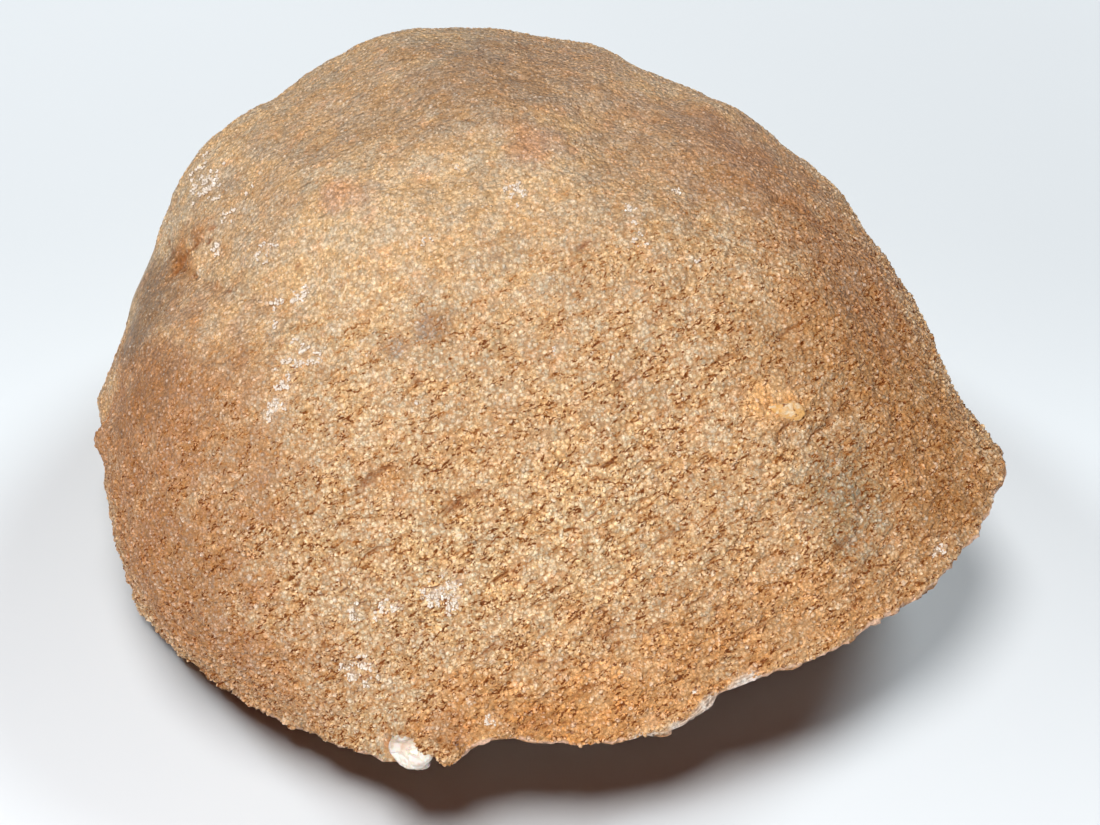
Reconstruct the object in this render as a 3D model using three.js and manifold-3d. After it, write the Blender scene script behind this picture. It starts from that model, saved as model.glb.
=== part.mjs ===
// Broken half of a quartz geode: a sandy, pimpled nodule lying on its broken face.
// Millimetres, +Z up, the camera side of the stone faces -Y. The origin is the bottom centre
// of the finished part.
import * as THREE from 'three';
import { ImprovedNoise } from 'three/addons/math/ImprovedNoise.js';
import { mergeVertices } from 'three/addons/utils/BufferGeometryUtils.js';
import Module from 'manifold-3d';

const wasm = await Module();
wasm.setup();

// ---------------------------------------------------------------- driving dimensions

const CORE_HEIGHT = 5;          // height above the table of the point the skin radii start from
const CROWN_RADIUS = 33.3;      // core to the top of the stone
const FIT_GAP = 0.3;            // clearance between two pieces that touch

const SKIN_RINGS = 19;          // rings of vertices from crown to rim
const RIM_POINTS = 105;         // vertices round the rim

// How far the skin stands from the core. Each row is one bearing, counter-clockwise from +X,
// and its four radii lie at the shares of the way from crown to rim in PROFILE_STEPS.
const PROFILE_STEPS = [0.3, 0.5, 0.7, 0.87];
const SKIN_PROFILES = [
  { bearing: 0, radii: [34.3, 35.8, 36.8, 38.4] },
  { bearing: 30, radii: [35.0, 37.0, 38.1, 37.6] },
  { bearing: 60, radii: [36.0, 37.8, 39.9, 39.4] },
  { bearing: 90, radii: [38.3, 41.0, 42.0, 40.8] },
  { bearing: 120, radii: [39.2, 44.0, 44.6, 42.4] },
  { bearing: 150, radii: [37.2, 41.2, 43.4, 43.2] },
  { bearing: 180, radii: [36.0, 39.2, 42.0, 43.3] },
  { bearing: 210, radii: [33.5, 35.8, 38.8, 41.2] },
  { bearing: 240, radii: [31.0, 31.3, 33.0, 35.5] },
  { bearing: 270, radii: [30.0, 29.2, 29.8, 31.6] },
  { bearing: 300, radii: [30.6, 30.0, 30.6, 32.0] },
  { bearing: 330, radii: [32.3, 33.0, 34.6, 37.0] },
];

// The broken rim: distance from the core's upright axis, and height above the table.
const RIM = [
  { bearing: 0, reach: 40.0, lift: 11.4 },
  { bearing: 20, reach: 37.8, lift: 8.5 },
  { bearing: 45, reach: 37.2, lift: 4.0 },
  { bearing: 70, reach: 37.5, lift: 1.2 },
  { bearing: 100, reach: 37.0, lift: 0.2 },
  { bearing: 130, reach: 38.2, lift: 0.0 },
  { bearing: 155, reach: 40.0, lift: 0.6 },
  { bearing: 180, reach: 42.0, lift: 1.5 },
  { bearing: 203, reach: 42.0, lift: 0.8 },
  { bearing: 211, reach: 39.8, lift: 0.0 },
  { bearing: 222, reach: 38.3, lift: 1.2 },
  { bearing: 234, reach: 37.3, lift: 2.6 },
  { bearing: 245, reach: 37.4, lift: 4.3 },
  { bearing: 252, reach: 37.7, lift: 5.5 },
  { bearing: 257, reach: 36.9, lift: 6.5 },
  { bearing: 260, reach: 34.9, lift: 8.0 },
  { bearing: 270, reach: 34.0, lift: 7.2 },
  { bearing: 278, reach: 34.7, lift: 7.0 },
  { bearing: 290, reach: 34.7, lift: 6.8 },
  { bearing: 295, reach: 33.8, lift: 8.2 },
  { bearing: 300, reach: 33.8, lift: 9.5 },
  { bearing: 308, reach: 35.3, lift: 9.5 },
  { bearing: 316, reach: 37.4, lift: 10.5 },
  { bearing: 319, reach: 37.0, lift: 11.0 },
  { bearing: 326, reach: 39.2, lift: 10.8 },
  { bearing: 338, reach: 41.6, lift: 12.0 },
  { bearing: 344, reach: 42.4, lift: 12.6 },
  { bearing: 349, reach: 43.7, lift: 13.0 },
];

// Single swellings (height above 0) and hollows (height below 0) in the skin: where, how wide.
const SKIN_FEATURES = [
  { bearing: 153, elevation: 30, width: 6.0, height: 2.0 },     // knob on the left shoulder
  { bearing: 166, elevation: 24, width: 3.6, height: -1.1 },    // crease below the knob
  { bearing: 178, elevation: 36, width: 3.6, height: -1.1 },
  { bearing: 189, elevation: 44, width: 3.6, height: -0.7 },
  { bearing: 176, elevation: 4, width: 2.2, height: 2.2 },      // nub on the left edge
  { bearing: 329, elevation: 37, width: 4.5, height: -0.7 },    // valley behind the beak
  { bearing: 326, elevation: 25, width: 4.5, height: -0.9 },
  { bearing: 337, elevation: 17, width: 5.0, height: 0.6 },     // swelling of the beak
  { bearing: 235, elevation: 40, width: 2.2, height: -0.8 },    // pits on the front
  { bearing: 252, elevation: 41, width: 2.0, height: -0.7 },
  { bearing: 239, elevation: 30, width: 2.0, height: -0.6 },
  { bearing: 261, elevation: 30, width: 2.0, height: -0.6 },
  { bearing: 280, elevation: 20, width: 2.2, height: -0.7 },
];

// Fracture face and hollow.
const FRACTURE_RINGS = 7;
const FRACTURE_SLOPE_SHARE = 0.6;   // share of the way in that the break keeps sloping down
const MEAN_LIFT = 0.25;             // mean height of the break's level part; what dips is worn flat
const MOUTH_MARGIN = 2;             // the break is drawn this far past the hollow's edge
const HOLLOW_RINGS = 10;
const HOLLOW_POINTS = 36;
const HOLLOW_DEPTH_BELOW = 30;      // degrees below its centre that the hollow's wall is drawn
const HOLLOW_CENTRE = new THREE.Vector3(0, 2, 4);
const HOLLOW_RADII = new THREE.Vector3(27, 21.5, 24);
const CRUST_THICKNESS = 2.0;
const CRUST_FLOOR = 0.8;        // the crystal lining starts this far above the table
const CRYSTAL_COUNT = 64;
const CRYSTAL_ROOT = 1.4;           // how deep in the lining a crystal starts
const CRYSTAL_LEAN = 0.6;
const CRUST_TOLERANCE = 0.16;       // facets smaller than this are merged

// White quartz lump set in the rim.
const LUMP_BEARING = 252;
const LUMP_REACH = 36.4;
const LUMP_HEIGHT = 6.6;
const LUMP_SLOPE = 45;
const LUMP_RADII = new THREE.Vector3(2.6, 1.5, 1.9);

// ---------------------------------------------------------------- numbers and noise

const perlin = new ImprovedNoise();

function rad(degrees) {
  return THREE.MathUtils.degToRad(degrees);
}

function roughness(point, size, seed) {
  return perlin.noise(point.x / size + seed, point.y / size + 1.7 * seed, point.z / size - seed);
}

// Smooth curve through (at[i], value[i]), slopes from the neighbouring points.
function smoothThrough(at, value, x) {
  let i = 0;
  while (i < at.length - 2 && x > at[i + 1]) {
    i += 1;
  }
  const step = at[i + 1] - at[i];
  const slope = (a, b) => (value[b] - value[a]) / (at[b] - at[a]);
  const slopeIn = slope(Math.max(i - 1, 0), i + 1) * step;
  const slopeOut = slope(i, Math.min(i + 2, at.length - 1)) * step;
  const s = (x - at[i]) / step;
  const rise = value[i + 1] - value[i];
  const bend = slopeIn + slopeOut - 2 * rise;
  return value[i] + s * (slopeIn + s * (rise - slopeIn - bend + s * bend));
}

// The same, for a table of bearings that goes all the way round.
function aroundTable(table, read, bearing) {
  const at = [];
  const value = [];
  for (const turn of [-360, 0, 360]) {
    for (const row of table) {
      at.push(row.bearing + turn);
      value.push(read(row));
    }
  }
  return smoothThrough(at, value, bearing);
}

// ---------------------------------------------------------------- solids from rings

// Fills the strip between two rings of points that both run counter-clockwise.
function zipRings(upper, lower, corners) {
  let i = 0;
  let j = 0;
  const upperSteps = upper.length === 1 ? 0 : upper.length;
  const lowerSteps = lower.length === 1 ? 0 : lower.length;
  while (i < upperSteps || j < lowerSteps) {
    const upperIsBehind = (i + 1) / upper.length <= (j + 1) / lower.length;
    const here = [upper[i % upper.length], lower[j % lower.length]];
    if (i < upperSteps && (upperIsBehind || j === lowerSteps)) {
      i += 1;
      corners.push(...here, upper[i % upper.length]);
    } else {
      j += 1;
      corners.push(...here, lower[j % lower.length]);
    }
  }
}

// Closed skin over rings listed from the top pole to the bottom pole.
function solidFromRings(rings) {
  const corners = [];
  for (let k = 0; k + 1 < rings.length; k += 1) {
    zipRings(rings[k], rings[k + 1], corners);
  }
  return toManifold(new THREE.BufferGeometry().setFromPoints(corners));
}

function toManifold(geometry) {
  const bare = new THREE.BufferGeometry();
  bare.setAttribute('position', geometry.attributes.position.clone());
  bare.setIndex(geometry.index);
  const welded = mergeVertices(bare);
  const triVerts = [];
  for (let k = 0; k < welded.index.count; k += 3) {
    const [a, b, c] = [0, 1, 2].map((corner) => welded.index.getX(k + corner));
    if (a !== b && b !== c && c !== a) {
      triVerts.push(a, b, c);
    }
  }
  return new wasm.Manifold(new wasm.Mesh({
    numProp: 3,
    vertProperties: new Float32Array(welded.attributes.position.array),
    triVerts: new Uint32Array(triVerts),
  }));
}

function largestBody(solid) {
  return solid.decompose().sort((a, b) => b.volume() - a.volume())[0];
}

function toMesh(name, solid, material) {
  const { vertProperties, triVerts } = solid.getMesh();
  const geometry = new THREE.BufferGeometry();
  geometry.setAttribute('position', new THREE.BufferAttribute(vertProperties, 3));
  geometry.setIndex(new THREE.BufferAttribute(triVerts, 1));
  geometry.computeVertexNormals();
  const mesh = new THREE.Mesh(geometry, material);
  mesh.name = name;
  return mesh;
}

// ---------------------------------------------------------------- the stone wall

function direction(bearing, elevation) {
  const flat = Math.cos(rad(elevation));
  return new THREE.Vector3(
    flat * Math.cos(rad(bearing)),
    flat * Math.sin(rad(bearing)),
    Math.sin(rad(elevation)),
  );
}

// Straight from one rim point to the next, so its corners stay sharp.
function rimAt(bearing) {
  const after = RIM.findIndex((point) => point.bearing > bearing);
  const next = after < 0 ? { ...RIM[0], bearing: 360 } : RIM[after];
  const last = RIM[(after < 0 ? RIM.length : after) - 1];
  const share = (bearing - last.bearing) / (next.bearing - last.bearing);
  return {
    reach: THREE.MathUtils.lerp(last.reach, next.reach, share),
    lift: THREE.MathUtils.lerp(last.lift, next.lift, share),
  };
}

function featureHeight(towards) {
  return SKIN_FEATURES.reduce((sum, feature) => {
    const apart = towards.angleTo(direction(feature.bearing, feature.elevation));
    const distance = apart * CROWN_RADIUS / feature.width;
    return sum + feature.height * Math.exp(-distance * distance);
  }, 0);
}

// share is 0 at the crown and 1 at the rim.
function skinPoint(bearing, share) {
  const rim = rimAt(bearing);
  const rimHeight = rim.lift - CORE_HEIGHT;
  const rimElevation = THREE.MathUtils.radToDeg(Math.atan2(rimHeight, rim.reach));
  const elevation = THREE.MathUtils.lerp(90, rimElevation, share);
  const radii = PROFILE_STEPS.map(
    (step, k) => aroundTable(SKIN_PROFILES, (row) => row.radii[k], bearing),
  );
  const radius = smoothThrough(
    [0, ...PROFILE_STEPS, 1],
    [CROWN_RADIUS, ...radii, Math.hypot(rim.reach, rimHeight)],
    share,
  );
  const towards = direction(bearing, elevation);
  const point = towards.clone().multiplyScalar(radius);
  const lumps = 1.3 * roughness(point, 17, 3.1) + 0.8 * roughness(point, 7.5, 8.4);
  const grit = 0.45 * roughness(point, 3.6, 5.7);
  const height = (lumps + grit) * (1 - share ** 6) + featureHeight(towards) * (1 - share ** 24);
  return point.addScaledVector(towards, height).setZ(point.z + CORE_HEIGHT);
}

function ringOf(count, pointAt) {
  return Array.from({ length: count }, (_, k) => pointAt(360 * k / count));
}

function skinRings() {
  const rings = [[skinPoint(0, 0)]];
  for (let k = 1; k <= SKIN_RINGS; k += 1) {
    const share = k / SKIN_RINGS;
    const count = Math.max(6, Math.round(RIM_POINTS * Math.sin(share * Math.PI / 2)));
    rings.push(ringOf(count, (bearing) => skinPoint(bearing, share)));
  }
  return rings;
}

// The break slopes down and in from the raised rim, then runs along the table to the hollow.
function fracturePoint(bearing, share) {
  const rim = rimAt(bearing);
  const reach = THREE.MathUtils.lerp(rim.reach, mouthReach(bearing) - MOUTH_MARGIN, share);
  const point = direction(bearing, 0).multiplyScalar(reach);
  const slope = rim.lift * Math.max(0, 1 - share / FRACTURE_SLOPE_SHARE) ** 1.2;
  const hackle = 0.9 * roughness(point, 5.5, 2.3) + 0.5 * roughness(point, 2.9, 6.1);
  return point.setZ(slope + hackle * Math.min(1, 3 * share) + MEAN_LIFT * share);
}

function fractureRings() {
  const rings = [];
  for (let k = 1; k <= FRACTURE_RINGS; k += 1) {
    const share = k / FRACTURE_RINGS;
    const count = Math.round(RIM_POINTS * (1 - 0.4 * share));
    rings.push(ringOf(count, (bearing) => fracturePoint(bearing, share)));
  }
  rings.push([new THREE.Vector3(0, 0, 0)]);
  return rings;
}

// How far from the core's axis the hollow opens at table level.
function mouthReach(bearing) {
  const across = HOLLOW_RADII.x / Math.cos(rad(bearing));
  const along = HOLLOW_RADII.y / Math.sin(rad(bearing));
  return 1 / Math.hypot(1 / across, 1 / along) + HOLLOW_CENTRE.y * Math.sin(rad(bearing));
}

// ---------------------------------------------------------------- hollow and crystals

// The hollow as a closed solid, drawn in from its wall by inset.
function hollowSolid(inset) {
  const pointAt = (bearing, elevation) => {
    const towards = direction(bearing, elevation);
    const wave = 1 + 0.09 * roughness(towards, 0.5, 4.4);
    const wall = towards.clone().multiply(HOLLOW_RADII).multiplyScalar(wave);
    return wall.setLength(wall.length() - inset).add(HOLLOW_CENTRE);
  };
  const rings = [[pointAt(0, 90)]];
  for (let k = 1; k < HOLLOW_RINGS; k += 1) {
    const elevation = 90 - k * (90 + HOLLOW_DEPTH_BELOW) / HOLLOW_RINGS;
    const count = Math.max(6, Math.round(HOLLOW_POINTS * Math.cos(rad(elevation))));
    rings.push(ringOf(count, (bearing) => pointAt(bearing, elevation)));
  }
  rings.push([new THREE.Vector3(HOLLOW_CENTRE.x, HOLLOW_CENTRE.y, -HOLLOW_RADII.z)]);
  return solidFromRings(rings);
}

function crystalSolid(random) {
  const radius = THREE.MathUtils.lerp(2.2, 4.0, random());
  const length = THREE.MathUtils.lerp(1.2, 3.6, random());
  const profile = [
    new THREE.Vector2(0, 0),
    new THREE.Vector2(radius, 0),
    new THREE.Vector2(radius * 0.94, length),
    new THREE.Vector2(0, length + radius * 1.15),
  ];
  return new THREE.LatheGeometry(profile, 6);
}

// Quartz points all over the wall, each standing roughly square to it.
function crystals() {
  const random = seededRandom(11);
  const up = new THREE.Vector3(0, 1, 0);
  const goldenTurn = 137.508;
  const solids = [];
  for (let k = 0; k < CRYSTAL_COUNT; k += 1) {
    const height = 1 - (k + 0.5) / CRYSTAL_COUNT;
    const elevation = THREE.MathUtils.radToDeg(Math.asin(height));
    const towards = direction(k * goldenTurn, elevation);
    const root = towards.clone().multiply(HOLLOW_RADII);
    root.setLength(root.length() - FIT_GAP - CRYSTAL_ROOT).add(HOLLOW_CENTRE);
    const lean = new THREE.Vector3(random() - 0.5, random() - 0.5, random() - 0.5);
    const inward = towards.divide(HOLLOW_RADII).normalize().negate().addScaledVector(lean, CRYSTAL_LEAN);
    const geometry = crystalSolid(random);
    geometry.rotateY(random() * Math.PI);
    geometry.applyQuaternion(new THREE.Quaternion().setFromUnitVectors(up, inward.normalize()));
    geometry.translate(root.x, root.y, root.z);
    solids.push(toManifold(geometry));
  }
  return wasm.Manifold.union(solids);
}

function seededRandom(seed) {
  let state = seed;
  return () => {
    state = (state * 16807) % 2147483647;
    return state / 2147483647;
  };
}

// ---------------------------------------------------------------- white lump at the rim

function lumpSolid(margin) {
  const geometry = new THREE.IcosahedronGeometry(1, 2);
  const place = geometry.attributes.position;
  const point = new THREE.Vector3();
  for (let k = 0; k < place.count; k += 1) {
    point.fromBufferAttribute(place, k);
    point.multiplyScalar(1 + 0.22 * roughness(point, 0.8, 9.2));
    place.setXYZ(k, point.x, point.y, point.z);
  }
  geometry.scale(LUMP_RADII.x + margin, LUMP_RADII.y + margin, LUMP_RADII.z + margin);
  geometry.rotateX(rad(LUMP_SLOPE));
  geometry.rotateZ(rad(LUMP_BEARING + 90));
  geometry.translate(...direction(LUMP_BEARING, 0).multiplyScalar(LUMP_REACH).setZ(LUMP_HEIGHT));
  return toManifold(geometry);
}

// ---------------------------------------------------------------- the three pieces

function buildRind() {
  const stone = solidFromRings([...skinRings(), ...fractureRings()]);
  const opened = stone.trimByPlane([0, 0, 1], 0).subtract(hollowSolid(0));
  const rind = largestBody(opened.subtract(lumpSolid(FIT_GAP)));
  const material = new THREE.MeshStandardMaterial({ color: 0xb98d5c, roughness: 0.9, metalness: 0 });
  return toMesh('rind', rind, material);
}

function buildCrust() {
  const envelope = hollowSolid(FIT_GAP);
  const lining = envelope.subtract(hollowSolid(FIT_GAP + CRUST_THICKNESS));
  const crust = lining.add(crystals()).intersect(envelope).trimByPlane([0, 0, 1], CRUST_FLOOR);
  const material = new THREE.MeshStandardMaterial({ color: 0xe6e2dc, roughness: 0.25, metalness: 0 });
  return toMesh('quartz_crust', largestBody(crust.simplify(CRUST_TOLERANCE)), material);
}

function buildLump() {
  const material = new THREE.MeshStandardMaterial({ color: 0xeae4d8, roughness: 0.4, metalness: 0 });
  return toMesh('white_quartz_lump', lumpSolid(0), material);
}

const geode = new THREE.Group();
geode.add(buildRind(), buildCrust(), buildLump());

const box = new THREE.Box3().setFromObject(geode);
const centre = box.getCenter(new THREE.Vector3());
for (const piece of geode.children) {
  piece.geometry.translate(-centre.x, -centre.y, -box.min.z);
}

export default geode;
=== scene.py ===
"""Looks of the geode: a broken half of a sandy, pimpled quartz nodule on a pale table.

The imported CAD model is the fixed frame. The stone wall is refined into one fine mesh with pits,
ledges and a jagged rim, its grains are joined meshes on the skin, and the quartz gets glassy
materials. Lengths are in millimetres until a mesh is written, and MM turns them into metres.
"""

import itertools
import math

import bmesh
import bpy
import numpy as np
from mathutils import Matrix, Vector
from mathutils.bvhtree import BVHTree
from mathutils.kdtree import KDTree


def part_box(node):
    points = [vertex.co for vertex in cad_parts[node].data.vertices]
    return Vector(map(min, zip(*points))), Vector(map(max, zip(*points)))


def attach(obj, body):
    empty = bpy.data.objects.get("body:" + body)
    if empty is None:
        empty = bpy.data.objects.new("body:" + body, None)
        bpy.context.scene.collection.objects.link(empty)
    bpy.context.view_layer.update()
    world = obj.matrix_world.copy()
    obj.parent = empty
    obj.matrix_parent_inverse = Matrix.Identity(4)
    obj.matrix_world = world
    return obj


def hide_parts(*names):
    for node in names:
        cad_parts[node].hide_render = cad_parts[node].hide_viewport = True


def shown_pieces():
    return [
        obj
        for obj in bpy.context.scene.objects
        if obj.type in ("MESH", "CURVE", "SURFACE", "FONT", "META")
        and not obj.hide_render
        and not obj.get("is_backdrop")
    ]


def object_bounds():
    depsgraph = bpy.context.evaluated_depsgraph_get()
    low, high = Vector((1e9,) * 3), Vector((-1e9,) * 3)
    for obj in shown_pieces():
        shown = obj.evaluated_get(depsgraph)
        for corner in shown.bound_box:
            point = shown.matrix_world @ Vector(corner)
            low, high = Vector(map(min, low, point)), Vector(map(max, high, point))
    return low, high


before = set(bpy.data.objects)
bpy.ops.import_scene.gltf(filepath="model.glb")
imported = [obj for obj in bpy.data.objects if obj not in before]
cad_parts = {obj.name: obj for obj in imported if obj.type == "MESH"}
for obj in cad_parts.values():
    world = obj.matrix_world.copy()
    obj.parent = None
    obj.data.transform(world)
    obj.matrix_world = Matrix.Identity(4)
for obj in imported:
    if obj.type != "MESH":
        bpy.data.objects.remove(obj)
cad_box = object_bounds()

MM = 0.001

# The photograph's camera, worked out from the outline.
PHOTO_WIDTH, PHOTO_HEIGHT = 1100, 825
CORE = Vector((1.2, -2.06, 5.0))        # the point of the part that the skin's radii start from
VIEW_ELEVATION = math.radians(48)
VIEW_DISTANCE = 180.8
AIM_RISE = 4.2                          # how far above the core the camera aims
LENS_MM, SENSOR_MM = 60, 36

VIEW_RIGHT = Vector((1, 0, 0))
VIEW_FORWARD = Vector((0, math.cos(VIEW_ELEVATION), -math.sin(VIEW_ELEVATION)))
VIEW_UP = Vector((0, math.sin(VIEW_ELEVATION), math.cos(VIEW_ELEVATION)))
EYE = CORE + VIEW_UP * AIM_RISE - VIEW_FORWARD * VIEW_DISTANCE

# Fineness, and the grains: how many, how many pieces they are joined into, their spacing and radius.
VOXEL = 0.52
LUMP_VOXEL = 0.08
WALL_SHARP, LUMP_SHARP = math.radians(50), math.radians(75)      # edges sharper than this stay sharp
COARSER = 1.0
PIMPLE_COUNT, PIMPLE_PIECES = ((21500, 2))
SAND_COUNT, SAND_PIECES = ((76000, 2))
PIMPLE_SPACING, PIMPLE_RADIUS = 0.48, 0.27
SAND_SPACING, SAND_RADIUS = 0.27, 0.18
SPARKLE_COUNT, SPARKLE_SPACING, SPARKLE_RADII = 1150, 0.17, (0.04, 0.12)
DRUSE_COUNT, DRUSE_RADII = 900, (0.18, 0.42)

# The stone's small relief runs in short ledges that climb to the right in the photograph.
LEDGE_SLOPE = math.radians(30)
LEDGE_ALONG = VIEW_RIGHT * math.cos(LEDGE_SLOPE) + VIEW_UP * math.sin(LEDGE_SLOPE)
LEDGE_ACROSS = VIEW_UP * math.cos(LEDGE_SLOPE) - VIEW_RIGHT * math.sin(LEDGE_SLOPE)

# The swells of the skin, its ledges, and its clumps of a few grains: length and width in mm and
# noise seed of each, and its height in mm.
SWELL, SWELL_HEIGHT = (3.4, 1.25, 3), 0.34
LEDGE, LEDGE_HEIGHT = (1.7, 0.8, 4), 0.20
CRUMB, CRUMB_HEIGHT = (1.05, 0.62, 61), 0.12

# The broken face starts where the skin turns this far under: at the front from FRONT_RIM_START to
# the right, behind from RIGHT_RIM_START to the right, and anywhere else.
FRONT_RIM_START, RIGHT_RIM_START = -9.0, 24.0
UNDER_FRONT, UNDER_RIGHT, UNDER_ELSEWHERE = -0.45, -0.50, -0.72
SKIN_FACING = 0.25                       # the skin faces away from the core at least this much

# Linear colours of the stone.
TAN = (0.705, 0.565, 0.385)
GOLD = (0.82, 0.60, 0.36)
# The gap colour below is painted shade at the grains' feet and between the beads, with some rust.
GAP_SHADE = (0.42, 0.21, 0.075)
ORANGE = (0.70, 0.33, 0.09)
RUST = (0.27, 0.09, 0.022)
# The deep colour below is the darkest painted shade, on the sides of crumbs and ledges that face down and
# right, mixed with rust.
DEEP_SHADE_RUST = (0.15, 0.032, 0.002)
OCHRE = (0.52, 0.22, 0.05)
RED = (0.42, 0.21, 0.115)
MAUVE = (0.40, 0.23, 0.15)
BROWN = (0.46, 0.24, 0.09)
GREY = (0.46, 0.40, 0.30)
PINK = (0.62, 0.33, 0.24)
WHITE = (0.86, 0.82, 0.74)
ASH = (0.49, 0.36, 0.245)
SLATE = (0.27, 0.205, 0.15)
DUSK = (0.33, 0.235, 0.165)
UMBER = (0.25, 0.125, 0.065)
PALE = (0.80, 0.68, 0.47)
OLIVE = (0.33, 0.30, 0.22)
PLUM = (0.34, 0.26, 0.22)
PEACH = (0.80, 0.46, 0.25)
INKY = (0.12, 0.10, 0.14)
HONEY = (0.90, 0.56, 0.27)

# What a cooler and a warmer patch of the skin, and single grain, multiply the colour by.
COOL = (0.95, 1.01, 1.07)
WARM = (1.06, 0.94, 0.76)
COOL_GRAIN = (0.98, 1.0, 1.04)
WARM_GRAIN = (1.04, 0.95, 0.78)

# Regions of colour: photo pixel, radius in mm, colour, strength.
TINTS = [
    # broad changes of tone over the stone: partly its own tone, partly painted shade that darkens it
    # towards the left, right and upper edges
    ((132, 425), 17, RED, 0.85), ((175, 600), 13, RED, 0.85), ((270, 690), 9, RED, 0.5),
    ((230, 450), 9, RED, 0.35), ((480, 725), 6, ORANGE, 0.7), ((580, 720), 7, ORANGE, 0.8),
    ((680, 680), 7, ORANGE, 0.6), ((780, 620), 8, ORANGE, 0.5), ((880, 590), 6, ORANGE, 0.45),
    ((950, 490), 9, BROWN, 0.8), ((890, 370), 10, BROWN, 0.75), ((860, 270), 10, MAUVE, 0.75),
    ((770, 170), 10, MAUVE, 0.7), ((695, 130), 10, MAUVE, 0.6), ((560, 60), 9, MAUVE, 0.5),
    ((440, 40), 8, GREY, 0.45), ((810, 350), 8, BROWN, 0.45), ((156, 290), 6.5, SLATE, 0.95),
    ((142, 325), 5.0, SLATE, 0.8), ((590, 240), 9, GOLD, 0.25), ((430, 230), 8, ASH, 0.2),
    ((205, 190), 4, DUSK, 0.35), ((195, 590), 6, DUSK, 0.45), ((850, 500), 4, SLATE, 0.35),
    ((550, 530), 13, GOLD, 0.8), ((600, 250), 8, ASH, 0.25), ((745, 500), 9, GOLD, 0.5),
    ((460, 565), 7, PALE, 0.7), ((600, 510), 7, PALE, 0.7), ((350, 110), 13, ASH, 0.65),
    ((500, 85), 12, ASH, 0.7), ((480, 72), 9, DUSK, 0.5), ((135, 395), 6, UMBER, 0.65),
    ((250, 210), 9, ASH, 0.5), ((640, 150), 9, ASH, 0.5),
    # patches
    ((430, 320), 2.4, GREY, 0.6), ((390, 345), 2.0, GREY, 0.6), ((500, 340), 1.3, GREY, 0.7),
    ((575, 280), 2.0, GREY, 0.5), ((500, 250), 2.4, GREY, 0.4), ((850, 470), 4.5, GREY, 0.6),
    ((865, 530), 4.0, GREY, 0.6), ((730, 500), 3.5, GREY, 0.4), ((842, 495), 4.5, OLIVE, 0.7),
    ((868, 545), 3.5, OLIVE, 0.5), ((426, 324), 2.0, PLUM, 0.7), ((400, 345), 1.4, PLUM, 0.6),
    ((850, 345), 1.3, RUST, 0.6), ((884, 352), 1.1, RUST, 0.6), ((905, 470), 1.5, ORANGE, 0.5),
    ((340, 190), 2.5, PINK, 0.5), ((535, 140), 3.0, PINK, 0.5), ((450, 725), 2.6, RED, 0.5),
    ((610, 630), 2.0, RUST, 0.4), ((182, 258), 2.8, BROWN, 0.8), ((180, 262), 1.8, RUST, 0.6),
    ((198, 240), 1.4, RUST, 0.5), ((390, 475), 1.4, ORANGE, 0.6), ((540, 720), 1.6, RUST, 0.5),
    ((390, 738), 1.0, MAUVE, 0.7), ((768, 400), 2.9, HONEY, 0.75), ((790, 403), 2.0, HONEY, 0.7),
    # The rust spot at (788, 429), below the honey chip, is a painted shadow of the chip.
    ((788, 429), 0.9, RUST, 0.8), ((441, 751), 0.9, RUST, 0.8), ((452, 754), 1.6, BROWN, 0.6),
    ((655, 718), 1.0, MAUVE, 0.6), ((458, 741), 0.5, INKY, 0.85),
]

# Sparkling white patches: photo pixel, radius in mm and how thickly they are crusted, 0 to 1.
SPARKLES = [
    ((212, 182), 2.3, 0.45), ((196, 165), 1.6, 0.25), ((219, 246), 0.7, 0.8), ((262, 246), 1.0, 0.35),
    ((275, 240), 0.6, 0.5), ((263, 266), 0.6, 0.5), ((278, 300), 0.9, 0.6), ((303, 292), 0.9, 0.5),
    ((278, 322), 0.7, 0.5), ((303, 348), 1.3, 0.75), ((293, 362), 1.0, 0.7), ((284, 384), 0.9, 0.7),
    ((277, 406), 1.0, 0.7), ((322, 352), 0.8, 0.4), ((515, 190), 1.1, 0.55), ((522, 201), 0.6, 0.4),
    ((478, 122), 0.7, 0.3), ((464, 166), 0.5, 0.5), ((640, 232), 0.9, 0.4), ((633, 208), 0.7, 0.4),
    ((680, 190), 0.4, 0.8), ((446, 588), 1.5, 1.0), ((436, 596), 0.9, 0.9), ((390, 607), 1.0, 0.7),
    ((355, 613), 0.8, 0.6), ((363, 668), 1.3, 0.9), ((350, 672), 0.8, 0.6), ((940, 550), 0.6, 0.9),
    ((416, 400), 0.5, 0.6), ((560, 350), 0.5, 0.4), ((492, 718), 0.5, 0.6), ((430, 235), 0.6, 0.3),
    ((700, 260), 0.6, 0.3), ((698, 690), 0.4, 0.7), ((250, 190), 1.2, 0.2), ((236, 210), 1.2, 0.2),
]

# Where the skin is smooth and shows no grains: photo pixel, radius in mm, share.
CALM = [
    ((150, 288), 4.6, 1.0), ((132, 330), 2.6, 0.9), ((204, 184), 3.2, 0.55), ((440, 45), 10, 0.6),
    ((700, 110), 8, 0.5), ((580, 70), 8, 0.45), ((320, 110), 9, 0.35), ((385, 740), 0.9, 0.9),
    ((652, 718), 0.9, 0.9), ((784, 404), 2.0, 0.6), ((765, 400), 2.0, 0.5),
]

# Swellings and hollows of the outline: photo pixel, radius and push outwards, in mm.
NUDGES = [
    ((152, 286), 4.2, 1.2), ((110, 394), 3.4, -0.75), ((106, 438), 1.6, 1.3),
    ((742, 128), 4.6, 1.3), ((706, 108), 2.4, 0.5), ((676, 94), 1.5, -0.4),
    ((846, 226), 3.0, -0.8), ((200, 215), 3.5, 0.4),
]

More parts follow.
